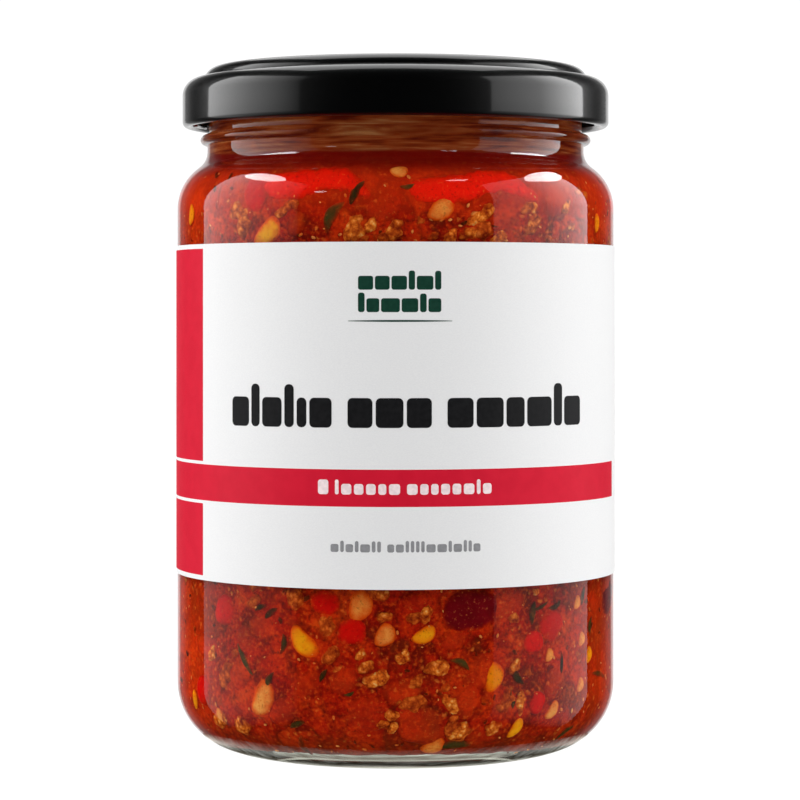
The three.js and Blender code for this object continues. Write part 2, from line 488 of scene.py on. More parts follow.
def lid_finish():
    """Stoved black lacquer on tinplate under a clear coat, with a trace of orange peel and dust."""
    paint = Paint("black_lacquer")
    peel = paint.noise(1.6 * MM, detail=1)
    broad = paint.noise(34 * MM, detail=1)
    dust = paint.noise(0.5 * MM, detail=2)
    dusty = paint.remap(dust, 0.62, 0.75, 0, 0.25)
    colour = paint.mix(dusty, (0.0007, 0.0007, 0.0008), (0.008, 0.008, 0.0085))
    normal = paint.bump(peel, 0.02 * MM, 0.12, paint.bump(broad, 0.3 * MM, 0.06))
    rough = paint.remap(dust, 0.4, 0.8, 0.34, 0.42)
    return paint.finished(paint.surface(colour, rough, IOR=1.45, Coat_Weight=1.0, Coat_Roughness=0.08,
                                        Coat_IOR=1.66, Normal=normal))


# ---------------------------------------------------------------- label

OVERLAP = 7 * MM                       # the label's end laps over its start, at the back
LABEL_LENGTH = 2 * math.pi * label_face
LABEL_HEIGHT = label_top - label_bottom
PAPER = 0.16 * MM
INK_RISE = 0.015 * MM
PANEL_END = math.radians(-57.7)        # the red panel runs from here to the left, round the back
BAND_END = math.radians(76.5)
PANEL_MARGIN = 0.9 * MM
BAND = (50.9 * MM, 57.9 * MM)
RULE = 0.6 * MM                        # white lines over and under the band, on the panel
BLACK_INK = (0.008, 0.008, 0.009)
GREEN_INK = (0.004, 0.040, 0.024)
PALE_INK = (0.80, 0.66, 0.67)
GREY_INK = (0.24, 0.24, 0.25)
NOTE_START = 76                        # small rows at the right-hand side, in millimetres
NOTE_HEIGHTS = (92, 87.6, 83.2, 78.8, 74.4, 70, 45.6, 41.2)
RED_INK = ((0.60, 0.0045, 0.026), (0.64, 0.0065, 0.030))
WHITE_PAPER = ((0.79, 0.79, 0.795), (0.82, 0.82, 0.82))


def make_label():
    """A paper sheet wrapped round the glass, whose end steps up over its start."""
    piece = added("label_paper", bpy.ops.mesh.primitive_grid_add, x_subdivisions=380,
                  y_subdivisions=8, size=1)
    edit()
    bpy.ops.transform.resize(value=(LABEL_LENGTH + OVERLAP, LABEL_HEIGHT, 1))
    bpy.ops.transform.translate(value=(OVERLAP / 2, (label_bottom + label_top) / 2, 0))
    done()
    modified(piece, "SOLIDIFY", thickness=PAPER, offset=-1)
    flat = corners(piece)
    lap_start = LABEL_LENGTH / 2 - 3 * MM
    flat[:, 2] += (PAPER + 0.04 * MM) * np.clip((flat[:, 0] - lap_start) / (3 * MM), 0, 1)
    moved(piece, flat)
    return smooth(wrapped(piece, label_face), 40)


def label_finish():
    """Coated white paper, with a red panel at the left that runs to the back and a red band."""
    paint = Paint("printed_paper")
    height = paint.axis("Z")
    turn = paint.axis("X").angle(paint.axis("Y") * -1.0)
    panel = (turn < PANEL_END) * height.between(label_bottom + PANEL_MARGIN, label_top - PANEL_MARGIN)
    rules = height.between(BAND[1], BAND[1] + RULE) + height.between(BAND[0] - RULE, BAND[0])
    band = height.between(*BAND) * (turn < BAND_END)
    ink = (panel * (1 - rules)).larger(band)
    mottle = paint.noise(3 * MM, detail=3)
    red = paint.mix(paint.remap(mottle, 0.3, 0.7), *RED_INK)
    fibres = paint.noise(0.35 * MM, detail=3, place=paint.shifted(scale=(1, 1, 2.2)))
    white = paint.mix(paint.remap(fibres, 0.35, 0.65), *WHITE_PAPER)
    colour = paint.mix(ink, white, red)
    rough = paint.remap(fibres, 0.3, 0.7, 0.52, 0.6) - ink * 0.06
    return paint.finished(paint.surface(colour, rough, Normal=paint.bump(fibres, 0.02 * MM, 0.15),
                                        Specular_IOR_Level=0.12))


def ink_block(width, height, round_off):
    """A flat patch of print with rounded corners, about its middle."""
    patch = added("ink", bpy.ops.mesh.primitive_plane_add, size=1)
    edit()
    bpy.ops.transform.resize(value=(width, height, 1))
    bpy.ops.mesh.bevel(affect="VERTICES", offset=min(round_off, width / 2.02, height / 2.02), segments=4)
    done()
    return patch


def ink_row(words, spans, base, tall, low, gap, round_off):
    """Blocks in a row, like words that are set but can't be read. A word is a list of (width,
    share of the tall height, or None for the low height) pairs, and is fitted to its span."""
    patches = []
    for word, (start, end) in zip(words, spans):
        fit = (end - start - gap * (len(word) - 1)) / sum(width for width, _ in word)
        place = start
        for width, rise in word:
            height = low if rise is None else low + (tall - low) * rise
            patch = ink_block(width * fit, height, round_off)
            patch.location = (place + width * fit / 2, base + height / 2, 0)
            patches.append(patch)
            place += width * fit + gap
    return patches


def ink_piece(name, patches, colour):
    """Patches joined, cut into narrow strips so that they bend, and laid round the label."""
    piece = joined(name, patches)
    spans = corners(piece)[:, 0]
    edit()
    for cut in np.arange(spans.min() + 0.7 * MM, spans.max(), 0.9 * MM):
        bpy.ops.mesh.select_all(action="SELECT")
        bpy.ops.mesh.bisect(plane_co=(cut, 0, 0), plane_no=(1, 0, 0))
    done()
    modified(piece, "SOLIDIFY", thickness=INK_RISE, offset=1)
    wrapped(piece, label_face + INK_RISE)
    paint = Paint(name + "_ink")
    mottle = paint.noise(0.8 * MM, detail=2)
    light = tuple(min(1, c * 1.2 + 0.002) for c in colour)
    shade = paint.mix(paint.remap(mottle, 0.3, 0.7), colour, light)
    material = paint.finished(paint.surface(shade, paint.remap(mottle, 0.3, 0.7, 0.46, 0.56),
                                            Specular_IOR_Level=0.15))
    return dressed(smooth(piece, 30), material)


def mixed_word(draw, count, vary, tall_share):
    """A word's blocks, some of them tall and narrow."""
    word = []
    for _ in range(count):
        tall = draw.random() < tall_share
        size = 0.42 if tall else draw.uniform(1 - vary, 1 + vary)
        word.append((size, draw.uniform(0.8, 1.0) if tall else None))
    return word


def spread(start, end, counts, gap):
    """Spans for words of so many blocks each, between a start and an end."""
    share = (end - start - gap * (len(counts) - 1)) / sum(counts)
    spans = []
    for count in counts:
        spans.append((start, start + share * count))
        start += share * count + gap
    return spans


def make_print():
    """Rows of blocks, and the stroke under the emblem. All places are from the label's middle."""
    draw = random.Random(11)
    wide, slim = 2.2, 1.0
    title = [[(wide, None), (slim, 1), (wide, None), (slim, 1), (slim, None), (wide, None)],
             [(wide, None), (wide * 1.1, None), (wide, None)],
             [(wide, None), (wide * 1.1, None), (wide * 0.8, None), (wide * 1.2, None), (slim, 1),
              (wide, None)]]
    spans = [(-34.6 * MM, -12.1 * MM), (-9.0 * MM, 6.9 * MM), (9.9 * MM, 41.5 * MM)]
    row = ink_row(title, spans, 65.7 * MM, 8.1 * MM, 5.6 * MM, 0.62 * MM, 0.9 * MM)
    ink_piece("title_blocks", row, BLACK_INK)

    emblem = []
    for base in (91.6 * MM, 87.4 * MM):
        words = [mixed_word(draw, 6, 0.2, 0.3)]
        emblem += ink_row(words, [(-7.0 * MM, 8.7 * MM)], base, 3.7 * MM, 2.6 * MM, 0.34 * MM, 0.45 * MM)
    ink_piece("emblem_blocks", emblem + [underline(-8.9 * MM, 10.8 * MM, 85.2 * MM)], GREEN_INK)

    counts = (1, 6, 8)
    words = [mixed_word(draw, count, 0.25, 0.25) for count in counts]
    spans = spread(-14.8 * MM, 18.7 * MM, counts, 1.3 * MM)
    row = ink_row(words, spans, 53.2 * MM, 2.9 * MM, 2.0 * MM, 0.5 * MM, 0.5 * MM)
    ink_piece("band_blocks", row, PALE_INK)

    counts = (7, 13)
    words = [mixed_word(draw, count, 0.25, 0.3) for count in counts]
    spans = spread(-12.3 * MM, 16.4 * MM, counts, 1.2 * MM)
    small = ink_row(words, spans, 42.4 * MM, 2.2 * MM, 1.5 * MM, 0.34 * MM, 0.35 * MM)
    for height in NOTE_HEIGHTS:
        counts = [draw.randint(5, 10) for _ in range(4)]
        words = [mixed_word(draw, count, 0.25, 0.25) for count in counts]
        spans = spread(NOTE_START * MM, (NOTE_START + draw.uniform(36, 48)) * MM, counts, 1.2 * MM)
        small += ink_row(words, spans, height * MM, 2.0 * MM, 1.4 * MM, 0.26 * MM, 0.3 * MM)
    ink_piece("note_blocks", small, GREY_INK)


def underline(start, end, height):
    """A thin stroke that swells a little in the middle and bows upwards."""
    stroke = added("stroke", bpy.ops.mesh.primitive_grid_add, x_subdivisions=24, y_subdivisions=1, size=2)
    flat = corners(stroke)
    along = flat[:, 0]
    half = 0.05 * MM + 0.13 * MM * (1 - along ** 2)
    flat[:, 0] = (start + end) / 2 + along * (end - start) / 2
    flat[:, 1] = height + 0.55 * MM * (1 - along ** 2) + flat[:, 1] * half
    return moved(stroke, flat)


# ---------------------------------------------------------------- the fill

wall_line = np.array(evenly(inside_wall(24) + [(inside_wall(24)[-1][0], fill_level)], 0.55 * MM))
slope = np.gradient(wall_line, axis=0)
wall_normal = np.column_stack([slope[:, 1], -slope[:, 0]]) / np.hypot(*slope.T)[:, None]


def from_wall(places):
    """For each place: how far it lies outside the glass's inner surface, and the way out there."""
    radius = np.hypot(places[:, 0], places[:, 1])
    spots = np.column_stack([radius, places[:, 2]])
    nearest = np.empty(len(spots), int)
    for first in range(0, len(spots), 20000):
        part = spots[first:first + 20000]
        gaps = ((part[:, None, :] - wall_line[None, :, :]) ** 2).sum(axis=2)
        nearest[first:first + 20000] = gaps.argmin(axis=1)
    normal = wall_normal[nearest]
    reach = ((spots - wall_line[nearest]) * normal).sum(axis=1)
    sides = places[:, :2] / np.maximum(radius, 1e-9)[:, None]
    return reach, np.column_stack([sides * normal[:, :1], normal[:, 1]])


def pressed(piece, most=PIECE_REACH):
    """Flattens what stands out too far, as glass does, and stores how proud of the sauce each
    vertex is."""
    places = corners(piece)
    reach, way_out = from_wall(places)
    soft = most * np.tanh(np.maximum(reach, 0) / most)
    moved(piece, places - way_out * np.where(reach > 0, reach - soft, 0)[:, None])
    reach = np.where(reach > 0, soft, reach)
    return marked(piece, "proud", np.clip(reach / most, 0, 1))


def make_sauce():
    """The body of the sauce: its side follows the glass, with a lumpy skin."""
    low, high = label_bottom + 3 * MM, label_top - 3 * MM
    line = [tuple(point) for point in wall_line]
    fine = [p for p in evenly(line, 0.62 * MM) if p[1] < low or p[1] > high]
    cut = next(i for i, p in enumerate(fine) if p[1] > high)
    floor = next(i for i, p in enumerate(fine) if p[0] > FLOOR_RADIUS * 0.72)
    side = ([fine[0]] + [fine[floor // 2]] + fine[floor:cut]
            + [(body_radius - WALL, z) for z in np.linspace(low + 4 * MM, high - 4 * MM, 7)] + fine[cut:])
    top = [(side[-1][0] * share, fill_level + rise * MM)
           for share, rise in ((0.97, 0.05), (0.85, -0.3), (0.6, 0.1), (0.3, -0.2), (0, 0))]
    sauce = turned("sauce", side + top, SAUCE_STEPS)
    places = corners(sauce)
    reach, way_out = from_wall(places)
    lumps = bpy.data.textures.new("lumps", "CLOUDS")
    lumps.noise_scale, lumps.noise_depth = 3.4 * MM, 3
    skin = np.array([lumps.evaluate(place)[3] for place in places.tolist()])
    lift = SAUCE_REACH + SAUCE_RELIEF * np.clip((skin - 0.35) * 2.2, 0, 1)
    on_wall = reach > -0.2 * MM
    radius = np.hypot(places[:, 0], places[:, 1])
    on_floor = on_wall & (places[:, 2] < 20 * MM)
    contact = np.where(on_floor, np.clip((radius - FLOOR_CONTACT + 0.8 * MM) / (0.8 * MM), 0, 1), 1)
    lift = lift * contact - FLOOR_GAP * (1 - contact)
    return smooth(moved(sauce, places + way_out * (lift * on_wall)[:, None]))


DEEP = (0.24, 0.0048, 0.0010)
RED = (0.47, 0.0110, 0.0015)
BRIGHT = (0.66, 0.033, 0.0028)
ORANGE = (0.72, 0.072, 0.0050)
BROWN = (0.22, 0.026, 0.0040)
SHADOW = (0.085, 0.0036, 0.0008)


# the orange of painted side light, mixed in toward the sides
SIDE_LIGHT_ORANGE = (0.88, 0.066, 0.002)
FOOT_SHADE_HEIGHTS = (10 * MM, 4 * MM)               # heights between which the sauce changes; over the first pair it is painted darker toward the bottom, as shade
SHOULDER_RED = (104 * MM, 110 * MM)
NECK_SHADE = (112.4 * MM, 115.2 * MM)
NECK_SMEAR = (117.2 * MM, 118.8 * MM)
SIDE_LIGHT_SPAN = (29.0, 41.0)                   # millimetres to either side, between which painted side light comes in


def sauce_colour(paint):
    """Red sauce made of soft lumps with dark seams of painted shade, and of finer pulp, oil and ground spice;
    the pulp's grains are painted darker at their edges as shade and lighter on their crests as highlights.
    It is painted lighter and more orange toward the sides, where side light falls, redder at the shoulder,
    darker toward the bottom and under the neck as painted shade, and smeared inside the neck, where its pale
    streaks are painted highlights. It depends on place alone, so pieces sunk in the sauce fade into the same
    colour."""
    height = paint.axis("Z")
    bent = paint.warped(4.5 * MM, 3.2 * MM)
    cloud = paint.noise(9 * MM, detail=4, rough=0.62, bend=0.5)
    tone = paint.each_cell(6.5 * MM, bent) * 0.22 + cloud * 1.0
    colour = paint.ramp(tone, (0.40, BROWN), (0.50, DEEP), (0.60, RED), (0.74, BRIGHT), (0.90, ORANGE))
    # painted shade in the dark seams between the soft lumps
    seam = paint.cells(6.5 * MM, bent, "DISTANCE_TO_EDGE") + (paint.noise(1.6 * MM, detail=3) - 0.5) * 0.25
    colour = paint.mix(paint.remap(seam, 0.16, -0.04) * 0.5, colour, SHADOW)
    # pulp grains: darker at their edges as painted shade, lighter on their crests as painted highlights
    bent_small = paint.warped(1.5 * MM, 0.8 * MM)
    crumb = paint.cells(1.3 * MM, bent_small) + (paint.noise(0.5 * MM, detail=2) - 0.5) * 0.3
    own = paint.each_cell(1.3 * MM, bent_small)
    grainy = paint.remap(paint.noise(5 * MM, detail=3, place=paint.shifted((0.1, 0.2, 0.3))), 0.42, 0.60)
    colour = paint.mix(grainy * paint.remap(crumb, 0.36, 0.70) * 0.45, colour, (0.16, 0.012, 0.002))
    light = paint.mix(own, (0.52, 0.055, 0.006), (0.86, 0.20, 0.026))
    crest = grainy * paint.remap(crumb, 0.46, 0.10) * paint.remap(own, 0.2, 0.9) * 0.8
    colour = paint.mix(crest, colour, light)
    grain = paint.noise(0.7 * MM, detail=3, rough=0.6)
    colour = paint.mix(paint.remap(grain, 0.50, 0.72, 0, 0.5), colour, (0.82, 0.088, 0.007))
    colour = paint.mix(paint.remap(grain, 0.49, 0.30, 0, 0.7), colour, (0.11, 0.0045, 0.001))
    # painted light: lighter and more orange toward the sides, where side light falls
    across = paint.axis("X") * (1 / MM)
    sides = paint.remap(across * across, SIDE_LIGHT_SPAN[0] ** 2, SIDE_LIGHT_SPAN[1] ** 2)
    colour = paint.mix(sides * 0.38, colour, SIDE_LIGHT_ORANGE)
    # painted shade: darker toward the bottom
    foot_shade = paint.remap(height, *FOOT_SHADE_HEIGHTS)
    colour = paint.mix(foot_shade * 0.6, colour, (0.20, 0.026, 0.003))
    top = paint.remap(height, *SHOULDER_RED)
    colour = paint.mix(top * 0.55, colour, (0.66, 0.030, 0.003))
    # painted shadow of the lid, darkening the sauce under the neck
    painted_neck_shadow = paint.remap(height, *NECK_SHADE) * 0.88
    colour = paint.mix(painted_neck_shadow, colour, (0.17, 0.0022, 0.0012))
    # the smear of sauce film inside the neck; its pale streaks are painted highlights
    streaks = paint.noise(4.0 * MM, detail=3, rough=0.5, bend=0.3,
                          place=paint.shifted(scale=(0.35, 0.35, 4.0), turn=(0.1, 0.1, 0)))
    smear_and_highlights = paint.ramp(streaks, (0.34, (0.12, 0.009, 0.002)), (0.48, (0.29, 0.042, 0.007)),
                       (0.60, (0.40, 0.090, 0.022)), (0.74, (0.58, 0.24, 0.08)))
    return paint.mix(paint.remap(height, *NECK_SMEAR), colour, smear_and_highlights)


def sauce_finish():
    """The sauce on its own: a wet, slightly rough skin."""
    paint = Paint("chili_sauce")
    colour = sauce_colour(paint)
    fine = paint.noise(0.9 * MM, detail=3)
    return paint.finished(paint.surface(
        colour, paint.remap(fine, 0.35, 0.65, 0.32, 0.5), Specular_IOR_Level=0.02,
        Normal=paint.bump(fine, 0.3 * MM, 0.6)))


def sunk_finish(name, own_colour, fade=(0.05, 0.7), halo=None, roughness=0.4, bump=0.15, grain=0.7):
    """A finish for what is sunk in the sauce: own_colour is made by a function of the paint, and
    fades into the sauce's colour, by way of the halo's, where the piece sinks under. Bump and
    grain are in millimetres."""
    paint = Paint(name)
    proud = paint.stored("proud") + (paint.noise(1.3 * MM, detail=3) - 0.5) * 0.5
    start, end = fade
    own = own_colour(paint)
    if halo:
        middle = (start + end) / 2
        colour = paint.mix(paint.remap(proud, start, middle, 0, 0.85), sauce_colour(paint), halo)
        colour = paint.mix(paint.remap(proud, middle - 0.1, end), colour, own)
    else:
        colour = paint.mix(paint.remap(proud, start, end), sauce_colour(paint), own)
    speckle = paint.noise(0.6 * MM, detail=3, rough=0.65)
    colour = paint.mix(paint.remap(speckle, 0.45, 0.28, 0, 0.45), colour, (0.14, 0.006, 0.001))
    colour = paint.mix(paint.remap(speckle, 0.60, 0.78, 0, 0.40), colour, (1.0, 0.30, 0.05))
    texture = paint.noise(grain * MM, detail=3)
    return paint.finished(paint.surface(
        colour, roughness, Specular_IOR_Level=0.03, Normal=paint.bump(texture, bump * MM, 0.6)))


def varied(low, high, dots=None):
    """A colour function: each copy of a piece lies between two tones, with cloudy variation and
    perhaps dots of a third."""
    def colour(paint):
        cloud = paint.noise(2.2 * MM, detail=3)
        share = paint.remap(paint.stored("tint") * 0.6 + cloud * 0.8, 0.2, 1.1)
        made = paint.mix(share, low, high)
        if dots:
            made = paint.mix(paint.remap(paint.noise(0.6 * MM, detail=2), 0.56, 0.70, 0, 0.7), made, dots)
        return made
    return colour


def meat_colour(paint):
    """Minced meat: tan grains with dark gaps of painted shade; some are paler, as fat is, and their middles
    are painted highlights.
    """
    bent = paint.warped(1.1 * MM, 0.75 * MM)
    grain = paint.cells(1.2 * MM, bent) + (paint.noise(0.4 * MM, detail=2) - 0.5) * 0.7
    # pale grains: painted highlights at their middles, painted shade in the gaps at their edges
    pale_highlit = paint.ramp(grain, (0.05, (1.0, 0.60, 0.17)), (0.28, (1.0, 0.32, 0.034)),
                      (0.55, (0.72, 0.135, 0.011)), (0.90, (0.26, 0.022, 0.002)))
    dull = paint.ramp(grain, (0.05, (0.86, 0.18, 0.020)), (0.40, (0.56, 0.078, 0.007)),
                      (0.90, (0.20, 0.014, 0.0015)))
    share = paint.stored("tint") * 0.9 + paint.each_cell(1.2 * MM, bent) * 0.4
    return paint.mix(paint.remap(share, 0.5, 1.15), dull, pale_highlit)


# ---------------------------------------------------------------- shapes that are sunk in the sauce

def lumpy(piece, size, depth, seed):
    """Pushes the surface in and out along its normals by a cloud texture."""
    texture = bpy.data.textures.new("lumpy", "CLOUDS")
    texture.noise_scale, texture.noise_depth = size, 2
    places = corners(piece)
    normals = np.array([v.normal[:] for v in piece.data.vertices])
    shift = np.array([seed * 0.013, seed * 0.007, seed * 0.011])
    amount = np.array([texture.evaluate(p)[3] for p in (places + shift).tolist()]) - 0.5
    bpy.data.textures.remove(texture)
    return moved(piece, places + normals * (2 * depth * amount)[:, None])


def ball(name, size, level=3):
    """A ball stretched to a width, a height and a depth."""
    piece = added(name, bpy.ops.mesh.primitive_ico_sphere_add, subdivisions=level, radius=0.5)
    edit()
    bpy.ops.transform.resize(value=size)
    done()
    return piece


def bean(seed, size):
    """A bean or kernel: an egg that is bent a little and blunter at one end."""
    piece = ball("bean", size, 4)
    places = corners(piece)
    share = places[:, 0] / (size[0] / 2)
    places[:, 1] *= 1 + 0.14 * share
    places[:, 1] += 0.16 * size[1] * (share ** 2 - 0.4)
    places[:, 2] *= 1 - 0.08 * share
    return smooth(lumpy(moved(piece, places), 2.6 * MM, 0.16 * MM, seed))


def lump(seed, size):
    """A soft lump with a rather flat face and an uneven outline."""
    piece = ball("lump", size, 4)
    places = corners(piece)
    share = places / (np.array(size) / 2)
    full = np.sign(share) * np.abs(share) ** 0.8
    places = full / np.maximum(np.linalg.norm(full, axis=1), 1e-9)[:, None] ** 0.5 * np.array(size) / 2
    return smooth(lumpy(moved(piece, places), 3.4 * MM, 0.45 * MM, seed))


def strip(seed, length, width, thick):
    """A strip of pepper that lies along the glass; it is wrapped round when placed."""
    piece = added("strip", bpy.ops.mesh.primitive_cylinder_add, vertices=24, radius=0.5, depth=1)
    edit()
    bpy.ops.transform.rotate(value=math.pi / 2, orient_axis="Y", center_override=(0, 0, 0))
    done()
    settled(piece)
    edit()
    for cut in np.linspace(-0.47, 0.47, 30):
        bpy.ops.mesh.select_all(action="SELECT")
        bpy.ops.mesh.bisect(plane_co=(cut, 0, 0), plane_no=(1, 0, 0))
    done()
    places = corners(piece)
    share = np.clip(places[:, 0] * 2, -1, 1)
    swell = np.sqrt(np.maximum(1 - np.abs(share) ** 3.4, 0.02)) * (1 - 0.22 * share)
    bow = 0.35 * width * (1 - share ** 2) + 0.18 * width * np.sin(share * 4)
    places = np.column_stack([places[:, 0] * length, places[:, 1] * width * swell + bow,
                              places[:, 2] * thick * swell])
    return smooth(lumpy(moved(piece, places), 4 * MM, 0.4 * MM, seed))


def crumb(seed, size):
    """A crumb of minced meat, rough all over."""
    draw = random.Random(seed)
    spans = ((0.9, 1.4), (0.7, 1.0), (0.6, 0.8))
    piece = ball("crumb", tuple(size * draw.uniform(*span) for span in spans), 3)
    lumpy(piece, 2.6 * MM, 0.22 * size, seed)
    return smooth(lumpy(piece, 0.95 * MM, 0.40 * MM, seed + 3))


def leaf(seed, length, width):
    """A sliver of herb, thickest along its rib and bent to one side."""
    piece = ball("leaf", (length, width, 1.5 * MM), 3)
    places = corners(piece)
    share = places[:, 0] / (length / 2)
    bow = random.Random(seed).uniform(-0.5, 0.5) * width
    places[:, 1] = places[:, 1] * (1 - 0.35 * np.abs(share)) + bow * (share ** 2 - 0.5)
    return smooth(lumpy(moved(piece, places), 1.3 * MM, 0.16 * MM, seed))


def fleck(seed, size):
    """A speck of spice, a seed or a drop of oil."""
    piece = ball("fleck", (size, size * 0.55, size * 0.4), 1)
    return smooth(lumpy(piece, 0.7 * MM, 0.12 * MM, seed))


def height_line(level):
    """Radius and outward normal of the glass's inner surface at a height."""
    rising = wall_line[:, 1] > FLOOR + 0.2 * MM
    line, normals = wall_line[rising], wall_normal[rising]
    at = np.abs(line[:, 1] - level).argmin()
    return line[at], normals[at]


def spot(turn, level, lift, spin=0.0, size=1.0, tilt=0.0):
    """Where a piece goes: an angle round from the front, a height, how far its middle lies
    outside the glass's inner surface, and its turn in the plane of the glass, in degrees."""
    (radius, height), (out_r, out_z) = height_line(level * MM)
    angle = math.radians(turn)
    side = Vector((math.cos(angle), math.sin(angle), 0))
    radial = Vector((math.sin(angle), -math.cos(angle), 0))
    out = (radial * out_r + Vector((0, 0, out_z))).normalized()
    up = out.cross(side)
    middle = radial * radius + Vector((0, 0, height)) + out * lift * MM
    base = Matrix((side, up, out)).transposed()
    spun = base @ Matrix.Rotation(math.radians(spin), 3, "Z")
    tilted = spun @ Matrix.Rotation(math.radians(tilt), 3, "X")
    return Matrix.Translation(middle) @ (tilted * size).to_4x4()


def set_in(name, shapes, places, draw, bent=False, first_tints=()):
    """Copies of the shapes at the places, joined to one piece. A bent piece follows the wall."""
    copies = []
    for number, place in enumerate(places):
        shape = shapes[number % len(shapes)]
        copy = shape.copy()
        copy.data = shape.data.copy()
        bpy.context.collection.objects.link(copy)
        tint = first_tints[number] if number < len(first_tints) else draw.random()
        marked(copy, "tint", np.full(len(copy.data.vertices), tint))
        if bent:
            bend(copy, place)
        else:
            copy.matrix_world = place
        copies.append(copy)
    for shape in shapes:
        bpy.data.objects.remove(shape)
    return pressed(joined(name, copies))


def bend(copy, place):
    """Lays a long flat shape round the wall: (turn, level, lift, spin) in degrees and millimetres."""
    turn, level, lift, spin = place
    flat = corners(copy)
    lean = math.radians(spin)
    along = flat[:, 0] * math.cos(lean) - flat[:, 1] * math.sin(lean)
    rise = flat[:, 0] * math.sin(lean) + flat[:, 1] * math.cos(lean)
    places = []
    for a, r, out in zip(along, rise, flat[:, 2]):
        (radius, height), (out_r, out_z) = height_line(level * MM + r)
        angle = math.radians(turn) + a / radius
        reach = radius + (lift * MM + out) * out_r
        places.append((reach * math.sin(angle), -reach * math.cos(angle), height + (lift * MM + out) * out_z))
    moved(copy, np.array(places))


LOW_BAND = (5.0, 36.5)                 # heights in millimetres that show under the label
HIGH_BAND = (99.5, 113.5)              # and over it


def strewn(draw, low, high, lift, size=(0.8, 1.25), upper=0.36, avoid=()):
    """Random spots all round, in the two bands that show, kept off the places in avoid."""
    while True:
        band = HIGH_BAND if draw.random() < upper else LOW_BAND
        turn, level = draw.uniform(-180, 180), draw.uniform(*band)
        near = any(abs((turn - t + 180) % 360 - 180) * 0.74 < g and abs(level - z) < g for t, z, g in avoid)
        if not near:
            break
    return spot(turn, level, lift + draw.uniform(low, high), draw.uniform(0, 360), draw.uniform(*size),
                draw.uniform(-20, 20))


# The darker and the lighter tone of each kind, and for some the tone of its dots
CORN = ((1.0, 0.28, 0.003), (1.0, 0.45, 0.006))
PALE_BEAN = ((0.86, 0.17, 0.010), (1.0, 0.46, 0.085), (0.74, 0.14, 0.012))
KIDNEY_BEAN = ((0.125, 0.0006, 0.0026), (0.25, 0.0016, 0.0070), (0.30, 0.020, 0.010))
PEPPER = ((0.50, 0.0016, 0.0008), (0.74, 0.0040, 0.0016))
PEPPER_STRIP = ((0.82, 0.0050, 0.001), (1.0, 0.012, 0.002))
TOMATO = ((0.42, 0.0085, 0.0013), (0.76, 0.048, 0.0035))
HERB = ((0.014, 0.009, 0.002), (0.052, 0.048, 0.009))
SPICE = ((0.045, 0.012, 0.002), (0.18, 0.026, 0.004))
SEED = ((0.80, 0.13, 0.012), (1.0, 0.42, 0.10))

# Strips of pepper: length in millimetres, and turn, height, lift and spin
STRIP_LENGTHS = (29, 25, 34, 28, 30)
STRIP_PLACES = [(22.0, 109.3, -0.6, -1), (-21.5, 109.9, -0.6, -4), (-128, 108.0, -0.8, 6),
                (138, 20, -0.9, 24), (96, 109, -0.9, 4)]
OTHER_KIDNEY = ((112, 17), (-148, 29), (168, 104), (-96, 101), (76, 31))

# Where pieces lie at the front: turn in degrees, height in millimetres, spin in degrees, size
FRONT_CORN = [
    (-24.1, 25.1, -48, 0.90), (7.3, 26.7, 30, 0.58), (25.8, 18.6, 82, 0.74), (33.9, 9.0, 66, 0.50),
    (-35.0, 102.8, 44, 0.92), (61.0, 20.4, 70, 0.40), (-66.0, 12.0, 80, 0.42), (66.0, 105.0, 80, 0.45),
    (-68.0, 106.5, 75, 0.50)]
FRONT_BEANS = [
    (-36.6, 13.7, 62, 0.95), (-9.1, 32.5, 80, 0.88), (-2.7, 26.5, 60, 0.62), (45.3, 11.3, 48, 0.48),
    (43.6, 21.9, 70, 0.34), (57.2, 24.0, 70, 0.36), (11.7, 106.8, 50, 0.80), (1.0, 113.2, 3, 0.42),
    (10.6, 6.4, 32, 0.60), (-54.0, 9.6, 70, 0.42), (55.0, 31.0, 60, 0.36), (56.5, 15.2, 60, 0.38)]
FRONT_PEPPER = [
    (-18.4, 32.8, 8, 1.08), (-11.2, 27.4, 20, 1.02), (44.7, 27.2, 30, 1.0), (38.3, 24.6, 0, 0.7),
    (39.7, 13.0, 70, 0.7), (-60.9, 13.8, 60, 0.95), (-50.4, 30.0, 70, 1.0), (-38.8, 110.0, 60, 1.0)]
FRONT_TOMATO = [
    (-7.5, 11.9, 12, 1.15), (-13.2, 18.4, 60, 0.8), (28.7, 105.2, 40, 0.8), (30.0, 32.0, 20, 0.8),
    (6.0, 32.6, 0, 0.8), (18.0, 15.0, 70, 1.0), (-24.0, 17.0, 40, 0.9), (2.0, 16.0, 20, 0.7),
    (-37.0, 28.0, 30, 0.9), (-3.0, 107.0, 30, 0.8), (46.0, 16.5, 60, 0.9), (7.0, 9.6, -8, 1.0),
    (15.0, 25.6, 20, 0.7), (-26.4, 104.3, 70, 0.6), (-30.5, 11.8, 30, 0.7), (22.0, 19.6, 60, 0.8)]
FRONT_KIDNEY = [(20.0, 31.2, 8, 1.13)]
